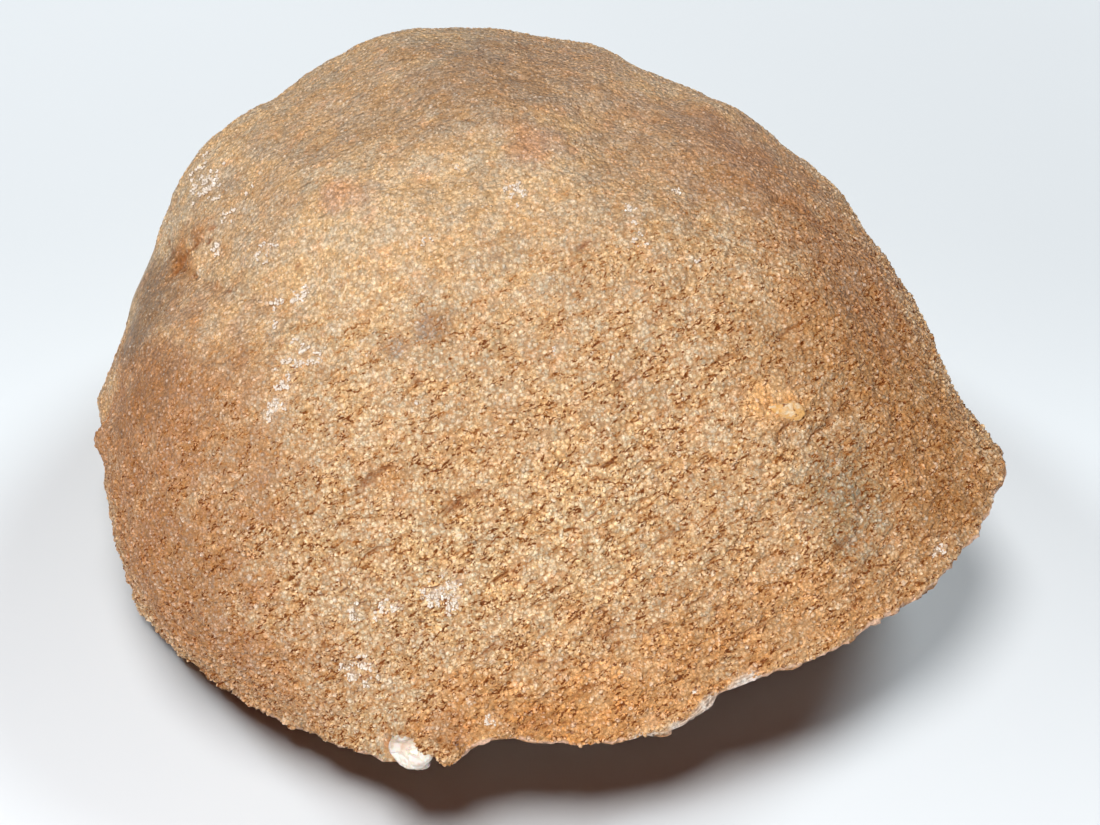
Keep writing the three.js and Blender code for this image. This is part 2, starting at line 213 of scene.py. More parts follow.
# Creases: the photo pixels that each runs through, its half width and its depth in mm.
CREASES = [
    ([(168, 240), (173, 254), (181, 266), (194, 276), (216, 286), (246, 295), (280, 304)], 0.26, 0.35),
    ([(186, 250), (200, 243), (213, 240)], 0.24, 0.25),
    ([(838, 432), (856, 470), (862, 520), (848, 556), (856, 600), (860, 622)], 0.20, 0.22),
    ([(905, 420), (868, 448), (846, 470)], 0.22, 0.30),
]

# Pits: photo pixel, width across the ledge, length along it, depth, all in mm.
PITS = [
    ((377, 474), 0.75, 2.0, 0.7), ((366, 486), 0.6, 1.0, 0.5), ((462, 500), 0.7, 1.9, 0.6),
    ((375, 552), 0.55, 1.5, 0.5), ((500, 578), 0.55, 1.4, 0.55), ((450, 512), 0.6, 1.0, 0.5),
    ((582, 245), 0.45, 1.1, 0.5), ((655, 192), 0.45, 1.1, 0.45), ((628, 383), 0.5, 1.2, 0.5),
    ((640, 502), 0.5, 1.1, 0.5), ((696, 602), 0.6, 1.3, 0.6), ((720, 612), 0.5, 0.9, 0.6),
    ((752, 632), 0.5, 1.2, 0.6), ((612, 632), 0.5, 0.9, 0.5), ((660, 625), 0.45, 0.8, 0.5),
    ((785, 490), 0.5, 1.3, 0.5), ((775, 498), 0.45, 1.1, 0.5), ((820, 432), 0.5, 2.0, 0.6),
    ((846, 405), 0.45, 1.1, 0.5), ((858, 585), 0.55, 0.9, 0.6), ((848, 545), 0.45, 0.9, 0.5),
    ((895, 450), 0.5, 1.2, 0.5), ((940, 495), 0.45, 1.1, 0.45), ((870, 560), 0.45, 0.9, 0.4),
    ((535, 655), 0.5, 1.1, 0.5), ((490, 650), 0.5, 1.3, 0.5), ((585, 690), 0.6, 1.5, 0.5),
    ((520, 730), 0.45, 0.9, 0.4), ((350, 520), 0.45, 0.9, 0.4), ((420, 380), 0.5, 1.4, 0.4),
    ((545, 320), 0.45, 1.1, 0.4), ((180, 262), 0.7, 1.8, 0.6), ((213, 225), 0.5, 1.2, 0.4),
    ((300, 262), 0.45, 0.9, 0.35), ((600, 610), 0.5, 1.3, 0.5), ((560, 600), 0.5, 0.9, 0.45),
    ((665, 540), 0.5, 1.7, 0.4), ((705, 465), 0.5, 1.5, 0.4), ((720, 360), 0.5, 1.7, 0.4),
    ((790, 330), 0.5, 1.5, 0.4), ((500, 440), 0.5, 1.5, 0.4), ((560, 470), 0.5, 1.5, 0.4),
    ((788, 428), 0.6, 1.5, 0.7),
]
RANDOM_PITS, PIT_WIDTHS, PIT_DEPTHS = 300, (0.35, 0.65), (0.12, 0.34)

# The honey-coloured crystalline chip: where it stands, half its size each way, and its flat faces.
CHIP_PIXEL = (785, 410)
CHIP_LENGTH, CHIP_WIDTH, CHIP_HEIGHT = 1.75, 0.95, 0.60
CHIP_FACES = 16

# Knobs of wall that lap over the white lump: photo pixel, and radii along the rim, down the view
# and towards it, in mm.
LOBES = [
    ((450, 753), (1.4, 1.05, 0.9)), ((437, 750), (1.5, 0.85, 0.7)), ((426, 742), (1.2, 0.85, 0.6)),
    ((411, 734), (1.5, 0.55, 0.6)),
]
COLLAR_PIXEL, COLLAR_RADIUS = (410, 737), 3.2      # the skin round the lump, which has no pale edge
LUMP_SHARE = 0.80                        # the part of the lump's width that the knobs leave bare

# Thin banded chalcedony at the rim: photo pixel, half its length and its width, in mm.
LIPS = [((692, 709), 2.9, 0.95), ((740, 676), 1.7, 0.8), ((640, 726), 1.2, 0.5)]

HOLLOW_CENTRE = np.array((1.2, -0.06, 4.0))      # what the small quartz points of the hollow face

# The stage, and its lights: name, azimuth and elevation in degrees, distance and size in mm,
# strength and colour. The table and the stone have lights of their own.
FLOOR_HALF = 1500
TABLE_TONES = ((0.624, 0.648, 0.664), (0.640, 0.664, 0.680))
TABLE_AWAY = (0.47, 0.49, 0.505)         # the table's tone beyond the photograph's edges
BACKDROP_RADIUS, BACKDROP_FLARE, BACKDROP_HEIGHT = 650, 400, 1200
BACKDROP_COLOUR, BACKDROP_GLOW = (0.96, 0.98, 1.0), 0.86
BACKDROP_RINGS, BACKDROP_SIDES = 12, 48
TABLE_LIGHTS = [
    ("overhead", 113, 72, 4000, 2290, 0.98, (1.0, 0.995, 0.99)),
    ("left_window", 138, 26, 4000, 880, 0.86, (0.88, 0.96, 1.0)),
    ("right_window", 46, 36, 4000, 1490, 0.94, (0.84, 0.95, 1.0)),
]
STONE_LIGHTS = [
    ("key", -104, 57, 700, 180, 1.02, (1.0, 0.985, 0.955)),
    ("back_fill", 78, 30, 700, 400, 0.10, (1.0, 0.99, 0.98)),
]
ROOM_COLOUR, ROOM_STRENGTH = (1.0, 0.17, 0.09, 1), 0.060


# ---------------- numbers on many points


random_source = np.random.default_rng(7)
SHUFFLE = random_source.permutation(256)
SLOPES = random_source.normal(size=(256, 3))
SLOPES /= np.linalg.norm(SLOPES, axis=1)[:, None]


def smooth_step(low, high, value):
    """0 below low, 1 above high, and an even rise between them; high may be the lower one."""
    share = np.clip((value - low) / (high - low), 0, 1)
    return share * share * (3 - 2 * share)


def noise(points, size, seed=0):
    """Gradient noise from about -1 to 1, with lumps about `size` mm across."""
    place = points / size + seed * 19.19
    cell = np.floor(place).astype(int)
    part = place - cell
    fade = part ** 3 * (part * (part * 6 - 15) + 10)
    total = np.zeros(len(points))
    for corner in itertools.product((0, 1), repeat=3):
        x, y, z = (cell + corner).T
        slope = SLOPES[SHUFFLE[(SHUFFLE[(SHUFFLE[x & 255] + y) & 255] + z) & 255]]
        weight = np.prod(np.where(corner, fade, 1 - fade), axis=1)
        total += weight * np.sum((part - corner) * slope, axis=1)
    return total * 1.7


def ledge_frame(points):
    """The points with the first axis along the ledges, the second across and the third outward."""
    outward = np.cross(LEDGE_ALONG, LEDGE_ACROSS)
    return points @ np.array([LEDGE_ALONG, LEDGE_ACROSS, outward]).T


def ledges(points, along, across, seed):
    """Noise in short ledges, steep on the side that faces down and right, from about -1 to 1."""
    place = ledge_frame(points) * (1 / along, 1 / across, 1 / across)
    swell = noise(place, 1, seed)
    place[:, 1] += 0.45 * swell
    return noise(place, 1, seed)


# ---------------- meshes


def coordinates(mesh):
    flat = np.empty(len(mesh.vertices) * 3)
    mesh.vertices.foreach_get("co", flat)
    return flat.reshape(-1, 3)


def vertex_normals(mesh):
    flat = np.empty(len(mesh.vertices) * 3, np.float32)
    mesh.vertex_normals.foreach_get("vector", flat)
    return flat.reshape(-1, 3).astype(float)


def move_vertices(mesh, points):
    mesh.vertices.foreach_set("co", points.ravel())
    mesh.update()


def store(mesh, name, values):
    """Keeps a number or a colour for each vertex, for the material to read."""
    values = np.asarray(values, np.float32)
    if values.ndim == 1:
        mesh.attributes.new(name, "FLOAT", "POINT").data.foreach_set("value", values)
        return
    colours = np.column_stack([values, np.ones(len(values), np.float32)])
    layer = mesh.attributes.new(name, "FLOAT_COLOR", "POINT")
    layer.data.foreach_set("color", colours.ravel())


def new_object(name, data):
    made = bpy.data.objects.new(name, data)
    bpy.context.scene.collection.objects.link(made)
    return made


def placed(name, mesh, material):
    """An object of a mesh that is given in millimetres, with one material."""
    mesh.transform(Matrix.Scale(MM, 4))
    mesh.materials.clear()
    mesh.materials.append(material)
    return new_object(name, mesh)


def add_piece(name, mesh, material, smooth=True):
    """A finished piece of the geode."""
    mesh.polygons.foreach_set("use_smooth", [smooth] * len(mesh.polygons))
    piece = placed(name, mesh, material)
    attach(piece, "root")
    return piece


def mesh_from(points, faces, name):
    mesh = bpy.data.meshes.new(name)
    mesh.from_pydata([tuple(p) for p in points], [], faces)
    mesh.update()
    return mesh


def joined_bodies(rows, faces, name):
    """One mesh of many small bodies: a row of points for each, and the faces of one body."""
    offsets = np.arange(len(rows)) * rows.shape[1]
    all_faces = (faces[None] + offsets[:, None, None]).reshape(-1, 3)
    return mesh_from(rows.reshape(-1, 3), all_faces.tolist(), name)


def welded_copy(node):
    """A CAD node's mesh in millimetres, with its shared corners merged."""
    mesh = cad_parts[node].data.copy()
    mesh.transform(Matrix.Scale(1 / MM, 4))
    work = bmesh.new()
    work.from_mesh(mesh)
    bmesh.ops.remove_doubles(work, verts=work.verts, dist=0.001)
    work.to_mesh(mesh)
    work.free()
    return mesh


def remeshed(mesh, voxel, sharp_angle):
    """The mesh rounded between its sharp edges, then cut into even cells."""
    work = bmesh.new()
    work.from_mesh(mesh)
    crease = work.edges.layers.float.new("crease_edge")
    for edge in work.edges:
        if len(edge.link_faces) == 2 and edge.calc_face_angle() > sharp_angle:
            edge[crease] = 1
    work.to_mesh(mesh)
    work.free()
    carrier = new_object("carrier", mesh)
    rounding = carrier.modifiers.new("rounding", "SUBSURF")
    rounding.levels = rounding.render_levels = 2
    cells = carrier.modifiers.new("cells", "REMESH")
    cells.mode = "VOXEL"
    cells.voxel_size = voxel
    fine = bpy.data.meshes.new_from_object(carrier.evaluated_get(bpy.context.evaluated_depsgraph_get()))
    bpy.data.objects.remove(carrier)
    return fine


def face_arrays(mesh):
    """Centres, normals and areas of a mesh's faces."""
    centres = np.array([face.center for face in mesh.polygons])
    normals = np.array([face.normal for face in mesh.polygons])
    areas = np.array([face.area for face in mesh.polygons])
    return centres, normals, areas


def tree_of(mesh, chosen):
    """A search tree of the chosen faces."""
    faces = [tuple(mesh.polygons[i].vertices) for i in np.flatnonzero(chosen)]
    return BVHTree.FromPolygons([v.co for v in mesh.vertices], faces)


def unit(rows):
    """The rows, each brought to length 1."""
    return rows / np.linalg.norm(rows, axis=1)[:, None]


def distances_to(tree, points):
    return np.array([tree.find_nearest(Vector(p))[3] for p in points])


# ---------------- the photograph's camera


def photo_ray(pixel):
    """The direction in which the camera looks through a pixel of the photograph."""
    focal = PHOTO_WIDTH * LENS_MM / SENSOR_MM
    right = (pixel[0] - PHOTO_WIDTH / 2) / focal
    up = (PHOTO_HEIGHT / 2 - pixel[1]) / focal
    return (VIEW_FORWARD + VIEW_RIGHT * right + VIEW_UP * up).normalized()


def spot_at(tree, pixel):
    """The point of the surface seen at a pixel, and the way the surface faces there."""
    place, facing, _, _ = tree.ray_cast(EYE, photo_ray(pixel))
    if place is None:
        raise ValueError(f"pixel {pixel} misses the stone")
    return place, facing


def distance_from(points, tree, pixel):
    """How far each point is from the spot seen at a pixel, in mm."""
    return np.linalg.norm(points - spot_at(tree, pixel)[0], axis=1)


def round_spots(points, tree, spots):
    """For each spot of a list: every point's distance as a share of its radius, and its other values."""
    for pixel, radius, *values in spots:
        yield distance_from(points, tree, pixel) / radius, *values


# ---------------- the stone


def classify(mesh):
    """Which of the rind's faces are skin, hollow wall and broken face."""
    centres, normals, _ = face_arrays(mesh)
    facing = np.sum(normals * unit(centres - CORE), axis=1)
    hollow = facing < 0
    front_right = (centres[:, 0] > FRONT_RIM_START) & (centres[:, 1] < 0)
    behind = np.where(centres[:, 0] > RIGHT_RIM_START, UNDER_RIGHT, UNDER_ELSEWHERE)
    under = np.where(front_right, UNDER_FRONT, behind)
    skin = (facing > SKIN_FACING) & (normals[:, 2] > under)
    return skin, hollow, ~(skin | hollow)


def pit_list(tree, skin_points, skin_normals):
    """Every pit as (place, outward, across, along, depth), in mm."""
    pits = []
    for pixel, across, along, depth in PITS:
        place, facing = spot_at(tree, pixel)
        pits.append((place, facing, across, along, depth))
    chosen = random_source.choice(len(skin_points), RANDOM_PITS, replace=False)
    for index in chosen:
        across = random_source.uniform(*PIT_WIDTHS)
        along = across * random_source.uniform(1.2, 3.0)
        depth = random_source.uniform(*PIT_DEPTHS)
        place = Vector(skin_points[index])
        pits.append((place, Vector(skin_normals[index]), across, along, depth))
    return pits


def pit_depths(points, pits):
    """How deep each point lies in the pits, and how much it lies on their steep upper wall."""
    deep = np.zeros(len(points))
    wall = np.zeros(len(points))
    for place, facing, across, along, depth in pits:
        near = np.flatnonzero(np.sum((points - place) ** 2, axis=1) < (2.2 * along) ** 2)
        along_axis = (LEDGE_ALONG - facing * LEDGE_ALONG.dot(facing)).normalized()
        across_axis = Vector(facing).cross(along_axis)
        offset = points[near] - place
        u = offset @ along_axis / along
        v = offset @ across_axis / across + 0.35 * u * u
        width = np.where(v > 0, 0.45, 1.25)
        hole = np.exp(-(u * u) * 1.3 - (v / width) ** 2)
        deep[near] = np.maximum(deep[near], depth * hole)
        steep = smooth_step(-0.35, 0.05, v) * smooth_step(0.12, 0.4, hole)
        wall[near] = np.maximum(wall[near], steep * smooth_step(0.15, 0.5, depth))
    return deep, wall


def tints(points, tree):
    """The base colour at each point: tan, changed by the tinted regions, some of which paint shade towards
    the edges and under the chip.
    """
    colour = np.tile(TAN, (len(points), 1))
    wobble = noise(points, 3.0, 11) * 0.35 + noise(points, 1.1, 12) * 0.22
    for distance, tint, strength in round_spots(points, tree, TINTS):
        share = strength * smooth_step(1.25, 0.25, distance + wobble)
        colour += (np.array(tint) - colour) * share[:, None]
    return colour


def sparkle_mask(points, tree):
    """How thickly white crystals crust each point: 1 in the middle of a thick patch, mostly 0."""
    mask = np.zeros(len(points))
    wobble = noise(points, 0.9, 21) * 0.6 + noise(points, 0.45, 22) * 0.5
    torn = smooth_step(-0.25, 0.3, ledges(points, 1.1, 0.45, 23))
    for distance, share in round_spots(points, tree, SPARKLES):
        mask = np.maximum(mask, share * smooth_step(1.25, 0.35, distance + wobble) * torn)
    return mask


def calmness(points, tree):
    """1 where the skin is smooth and shows no grains, 0 on most of it."""
    calm = np.zeros(len(points))
    wobble = noise(points, 2.5, 24) * 0.25
    for distance, share in round_spots(points, tree, CALM):
        calm = np.maximum(calm, share * smooth_step(1.15, 0.6, distance + wobble))
    return calm


def nudge(points, tree):
    """How far each point moves outwards or inwards with the swellings of the outline."""
    push = np.zeros(len(points))
    for distance, height in round_spots(points, tree, NUDGES):
        push += height * np.exp(-distance ** 2)
    return push


def crease_depths(points, tree):
    """How deep each point lies in a crease, and how much rust and painted shade it gets, from 0 to 1."""
    deep = np.zeros(len(points))
    stain = np.zeros(len(points))
    wobble = 1 + 0.6 * noise(points, 1.3, 25)
    torn = smooth_step(-0.35, 0.25, noise(points, 0.9, 26))
    for pixels, width, depth in CREASES:
        spots = [np.array(spot_at(tree, pixel)[0]) for pixel in pixels]
        for start, end in zip(spots, spots[1:]):
            reach = end - start
            share = np.clip((points - start) @ reach / (reach @ reach), 0, 1)
            distance = np.linalg.norm(points - start - share[:, None] * reach, axis=1) * wobble / width
            deep = np.maximum(deep, depth * np.exp(-distance ** 2))
            stain = np.maximum(stain, smooth_step(1.5, 0.3, distance) * torn)
    return deep, stain


def coarseness(points):
    """How coarse the relief is: 1 low at the front and right, less at the top and the left."""
    across = points @ VIEW_RIGHT - CORE.x
    up = (points - np.array(CORE)) @ VIEW_UP
    return np.clip(0.75 + 0.007 * across - 0.021 * up, 0.2, 1.0)


def drops(points, along, across, seed, low, high):
    """1 on the steep sides of the ledges, which face down and right, 0 elsewhere: where rust and painted
    shade go.
    """
    below = points - 0.3 * across * np.array(LEDGE_ACROSS)
    climb = ledges(points, along, across, seed) - ledges(below, along, across, seed)
    return smooth_step(low, high, climb)


def rust_and_shade_marks(points, coarse, pits, tree):
    """Rust and painted shade from 0 to 1: on the steep sides of crumbs and ledges, and in the pits and
    creases.
    """
    crumb = drops(points, *CRUMB, 0.16, 0.55) * np.clip(1.4 * coarse - 0.15, 0, 1)
    ledge = drops(points, *LEDGE, 0.30, 0.75) * coarse
    _, wall = pit_depths(points, pits)
    _, crease = crease_depths(points, tree)
    return np.maximum(crumb, 0.8 * ledge), np.maximum(wall, crease)


def lip_mask(points, edge_gap, tree):
    """1 where banded chalcedony shows along the front rim, 0 elsewhere."""
    mask = np.zeros(len(points))
    wobble = 1 + 0.4 * noise(points, 1.5, 31)
    for pixel, reach, width in LIPS:
        place, _ = spot_at(tree, pixel)
        along = (points - place) @ LEDGE_ALONG
        near = smooth_step(reach, 0.7 * reach, np.abs(along))
        near = near * (np.linalg.norm(points - place, axis=1) < 2 * reach)
        mask = np.maximum(mask, near * smooth_step(width, 0.6 * width, edge_gap * wobble))
    return mask


def with_lobes(cad, trees):
    """The wall with the knobs round the white lump added; remeshing joins them."""
    axes = Matrix((VIEW_RIGHT, -VIEW_UP, -VIEW_FORWARD)).transposed().to_4x4()
    work = bmesh.new()
    work.from_mesh(cad)
    for pixel, radii in LOBES:
        hits = [tree.ray_cast(EYE, photo_ray(pixel)) for tree in trees]
        place = min((hit for hit in hits if hit[0]), key=lambda hit: hit[3])[0]
        shape = Matrix.Translation(place) @ axes @ Matrix.Diagonal((*radii, 1))
        bmesh.ops.create_icosphere(work, subdivisions=3, radius=1, matrix=shape)
    joined = bpy.data.meshes.new("wall_and_lobes")
    work.to_mesh(joined)
    work.free()
    return joined


def build_stone():
    """The fine stone wall, a tree of its coarse form, and its pits."""
    cad = welded_copy("rind")
    seen = tree_of(cad, np.ones(len(cad.polygons), bool))
    own_faces = len(cad.polygons)
    lump = welded_copy("white_quartz_lump")
    cad = with_lobes(cad, (seen, tree_of(lump, np.ones(len(lump.polygons), bool))))
    skin, hollow, broken = classify(cad)
    skin[own_faces:] = True
    hollow[own_faces:] = broken[own_faces:] = False
    trees = [tree_of(cad, part) for part in (skin, broken, hollow)]
    fine = remeshed(cad, VOXEL, WALL_SHARP)
    points = coordinates(fine)
    normals = vertex_normals(fine)

    from_skin, from_broken, from_hollow = (distances_to(tree, points) for tree in trees)
    on_skin = from_skin <= np.minimum(from_broken, from_hollow)
    skin_share = smooth_step(1.2, 0.2, from_skin) * on_skin
    edge_gap = np.maximum(from_skin, from_broken)
    rim = smooth_step(1.6, 0.2, edge_gap)
    collar = distance_from(points, seen, COLLAR_PIXEL) / COLLAR_RADIUS
    edge_gap = edge_gap + smooth_step(1.0, 0.6, collar)

    calm = calmness(points, seen)
    coarse = coarseness(points) * (1 - calm)
    relief = 0.14 * noise(points, 3.4, 1) + (0.11 - 0.07 * calm) * noise(points, 1.7, 2)
    relief += (SWELL_HEIGHT * ledges(points, *SWELL) + LEDGE_HEIGHT * ledges(points, *LEDGE)) * coarse
    relief += CRUMB_HEIGHT * ledges(points, *CRUMB) * coarse
    rough_break = 0.35 * noise(points, 3.0, 5) + 0.22 * noise(points, 1.2, 6)
    height = np.where(on_skin, relief - 0.12, rough_break)
    open_skin = on_skin & (rim < 0.1)
    pits = pit_list(seen, points[open_skin], normals[open_skin])
    deep, _ = pit_depths(points, pits)
    crease, _ = crease_depths(points, seen)
    deep = np.maximum(deep, crease) * skin_share
    height = height * (1 - 0.4 * rim) - deep + nudge(points, seen) * on_skin
    chipped = noise(points, 2.2, 7) + 0.8 * noise(points, 1.0, 8)
    sideways = points - np.array(CORE)
    sideways[:, 2] = 0
    edge_move = rim * (0.30 * chipped + 0.05)
    drop, pit = rust_and_shade_marks(points, coarse, pits, seen)
    points = points + normals * height[:, None] + unit(sideways) * edge_move[:, None]
    points[:, 2] = np.maximum(points[:, 2], 0.0)
    move_vertices(fine, points)

    values = {"drop": drop * skin_share, "pit": pit * skin_share, "coarse": coarse, "edge_gap": edge_gap}
    values.update(skin=skin_share, depth=from_skin, sparkle=sparkle_mask(points, seen) * skin_share)
    values.update(tint=tints(points, seen), lip=lip_mask(points, edge_gap, seen))
    for name, value in values.items():
        store(fine, name, value)
    return fine, seen, pits


def copy_values(mesh, name, chosen=slice(None)):
    """A stored value of the chosen vertices, or of all of them."""
    layer = mesh.attributes[name]
    if layer.data_type == "FLOAT":
        flat = np.empty(len(mesh.vertices), np.float32)
        layer.data.foreach_get("value", flat)
        return flat[chosen]
    flat = np.empty(len(mesh.vertices) * 4, np.float32)
    layer.data.foreach_get("color", flat)
    return flat.reshape(-1, 4)[chosen, :3]


# ---------------- grains


def scatter(mesh, count, spacing, allowed):
    """Random places on the faces, no two in the same cell: points, normals and nearest vertices."""
    centres, normals, areas = face_arrays(mesh)
    first = np.array([face.vertices[0] for face in mesh.polygons])
    share = areas * allowed[first]
    picked = random_source.choice(len(areas), count * 4, p=share / share.sum())
    tangent = unit(np.cross(normals[picked], random_source.normal(size=(len(picked), 3))))
    reach = np.sqrt(areas[picked])[:, None] * random_source.uniform(-0.5, 0.5, (len(picked), 1))
    places = centres[picked] + tangent * reach
    cells = np.floor(places / spacing).astype(int)
    _, kept = np.unique(cells, axis=0, return_index=True)
    kept = random_source.permutation(kept)[:count]
    return places[kept], normals[picked[kept]], first[picked[kept]]


GRAIN_VALUES = ("sparkle", "tint", "coarse")
DOME_SIDES = 5
PIMPLE_RINGS = ((1.0, -0.5), (0.68, 0.6))     # radius and height of each ring, as shares of the grain's
SAND_RINGS = ((1.0, -0.35),)


def dome_faces(rings):
    """The faces of one grain: a low dome with an open, buried foot."""
    faces = []
    for ring in range(len(rings) - 1):
        low, high = ring * DOME_SIDES, (ring + 1) * DOME_SIDES
        for side in range(DOME_SIDES):
            after = (side + 1) % DOME_SIDES
            faces.append((low + side, low + after, high + after))
            faces.append((low + side, high + after, high + side))
    last, top = (len(rings) - 1) * DOME_SIDES, len(rings) * DOME_SIDES
    for side in range(DOME_SIDES):
        faces.append((last + side, last + (side + 1) % DOME_SIDES, top))
    return np.array(faces)


def dome_points(places, normals, radii, heights, rings):
    """The vertices of all grains, each a little uneven."""
    count = len(places)
    across = unit(np.cross(normals, random_source.normal(size=(count, 3))))
    along = np.cross(normals, across)
    stretch = random_source.uniform(0.8, 1.3, count)
    rows = []
    for ring_radius, ring_height in rings:
        for side in range(DOME_SIDES):
            angle = 2 * math.pi * side / DOME_SIDES
            wobble = random_source.uniform(0.75, 1.25, count)
            reach = radii * ring_radius * wobble
            step = across * (reach * stretch * math.cos(angle))[:, None]
            step = step + along * (reach / stretch * math.sin(angle))[:, None]
            rows.append(places + step + normals * (heights * ring_height)[:, None])
    lean = random_source.uniform(-0.25, 0.25, (2, count, 1)) * radii[:, None]
    rows.append(places + normals * heights[:, None] + across * lean[0] + along * lean[1])
    return np.stack(rows, axis=1)


def joined_grains(name, places, normals, radii, heights, values, rings, material):
    """Many grains as one mesh, each carrying the values of the spot where it sits."""
    points = dome_points(places, normals, radii, heights, rings)
    mesh = joined_bodies(points, dome_faces(rings), name)
    for key, value in values.items():
        store(mesh, key, np.repeat(value, points.shape[1], axis=0))
    rise = [height for _, height in rings for _ in range(DOME_SIDES)] + [1.0]
    store(mesh, "rise", np.tile(rise, len(places)))
    return add_piece(name, mesh, material)


def add_grains(stone, tree, pits, name, count, pieces, spacing, radius, rings, material):
    """The skin's grains of one kind, in a few joined pieces."""
    covered = (copy_values(stone, "skin") > 0.5) & (copy_values(stone, "lip") < 0.5)
    covered &= (copy_values(stone, "coarse") > 0.06) & (copy_values(stone, "edge_gap") > 0.45)
    allowed = np.where(covered, 1.0, 0.0)
    places, normals, nearest = scatter(stone, count, spacing, allowed)
    coarse = copy_values(stone, "coarse", nearest)
    drop, pit = rust_and_shade_marks(places, coarse, pits, tree)
    sunk = np.maximum(drop, pit)
    size = random_source.uniform(0.7, 1.3, len(places)) * radius * (0.7 + 0.3 * coarse)
    size *= COARSER
    heights = size * (0.28 + 0.74 * coarse) * (1 - 0.4 * sunk)
    places = places - normals * (0.16 * sunk)[:, None]
    values = {key: copy_values(stone, key, nearest) for key in GRAIN_VALUES}
    values.update(drop=drop, pit=pit)
    values["luck"] = random_source.uniform(0, 1, len(places))
    values["warmth"] = random_source.uniform(0, 1, len(places))
    owner = np.arange(len(places)) % pieces
    for piece in range(pieces):
        mine = owner == piece
        own = {key: value[mine] for key, value in values.items()}
        title = f"{name}_{piece + 1}"
        joined_grains(title, places[mine], normals[mine], size[mine], heights[mine], own, rings, material)


# ---------------- small crystals


CRYSTAL_SIDES = 6


def shard_faces():
    """A blunt six-sided point: a waist, a tip and a buried foot."""
    foot, tip = 2 * CRYSTAL_SIDES, 2 * CRYSTAL_SIDES + 1
    faces = []
    for side in range(CRYSTAL_SIDES):
        after = (side + 1) % CRYSTAL_SIDES
        faces.append((foot, after, side))
        faces.append((side, after, CRYSTAL_SIDES + after))
        faces.append((side, CRYSTAL_SIDES + after, CRYSTAL_SIDES + side))
        faces.append((CRYSTAL_SIDES + side, CRYSTAL_SIDES + after, tip))
    return np.array(faces)


def add_shards(name, places, directions, radii, lengths, material):
    """Many small crystals as one piece, each along its own direction."""
    count = len(places)
    across = unit(np.cross(directions, random_source.normal(size=(count, 3))))
    along = np.cross(directions, across)
    rows = []
    for height in (0.0, 0.6):
        for side in range(CRYSTAL_SIDES):
            angle = 2 * math.pi * side / CRYSTAL_SIDES
            reach = radii * random_source.uniform(0.8, 1.15, count)
            step = across * (reach * math.cos(angle))[:, None] + along * (reach * math.sin(angle))[:, None]
            rise = lengths * (height + 0.08 * random_source.uniform(-1, 1, count))
            rows.append(places + step + directions * rise[:, None])
    rows.append(places - directions * (0.5 * radii)[:, None])
    lean = random_source.uniform(-0.35, 0.35, (count, 2)) * radii[:, None]
    rows.append(places + directions * lengths[:, None] + across * lean[:, :1] + along * lean[:, 1:])
    mesh = joined_bodies(np.stack(rows, axis=1), shard_faces(), name)
    add_piece(name, mesh, material, smooth=False)


def add_sparkles(stone, material):
    """Crusts of tiny white crystals on the sparkling patches."""
    allowed = copy_values(stone, "sparkle")
    allowed = np.where(allowed > 0.12, allowed, 0)
    places, normals, _ = scatter(stone, SPARKLE_COUNT, SPARKLE_SPACING, allowed)
    directions = unit(normals + 0.7 * random_source.normal(size=normals.shape))
    radii = random_source.uniform(*SPARKLE_RADII, len(places))
    lengths = radii * random_source.uniform(1.2, 2.8, len(places))
    places = places + normals * 0.14
    add_shards("sparkle_crystals", places, directions, radii, lengths, material)


def facets(points, size, seed):
    """The height at each point of flat, tilted facets about `size` mm across."""
    source = np.random.default_rng(seed)
    low, high = points.min(axis=0) - size, points.max(axis=0) + size
    centres = source.uniform(low, high, (int(np.prod((high - low) / size)) + 1, 3))
    tilts = source.normal(size=centres.shape) * 0.45
    tree = KDTree(len(centres))
    for index, centre in enumerate(centres):
        tree.insert(centre, index)
    tree.balance()
    owner = np.array([tree.find(p)[1] for p in points])
    return np.sum((points - centres[owner]) * tilts[owner], axis=1)


def add_chip(tree, material):
    """The honey-coloured chip that stands on the skin at the right: a body cut by flat faces."""
    place, facing = spot_at(tree, CHIP_PIXEL)
    along = (VIEW_RIGHT * 0.99 - VIEW_UP * 0.06 - facing * VIEW_RIGHT.dot(facing)).normalized()
    across = facing.cross(along)
    work = bmesh.new()
    bmesh.ops.create_icosphere(work, subdivisions=5, radius=1)
    mesh = bpy.data.meshes.new("honey_chip")
    work.to_mesh(mesh)
    work.free()
    ball = coordinates(mesh)
    cuts = random_source.normal(size=(CHIP_FACES, 3))
    cuts[0] = (0.25, -0.1, 1.0)
    gaps = random_source.uniform(0.62, 0.95, CHIP_FACES)
    reach = np.min(gaps / np.maximum(ball @ unit(cuts).T, 0.15), axis=1)
    body = ball * np.minimum(reach, 1.15)[:, None]
    body += ball * (0.05 * noise(ball, 0.35, 42) + 0.03 * noise(ball, 0.15, 43))[:, None]
    u, v, w = body.T
    taper = 0.8 + 0.3 * u
    shape = np.outer(u * CHIP_LENGTH, along) + np.outer(v * CHIP_WIDTH * taper, across)
    shape += np.outer(w * CHIP_HEIGHT * taper, facing)
    move_vertices(mesh, shape + place)
    add_piece("honey_chip", mesh, material)


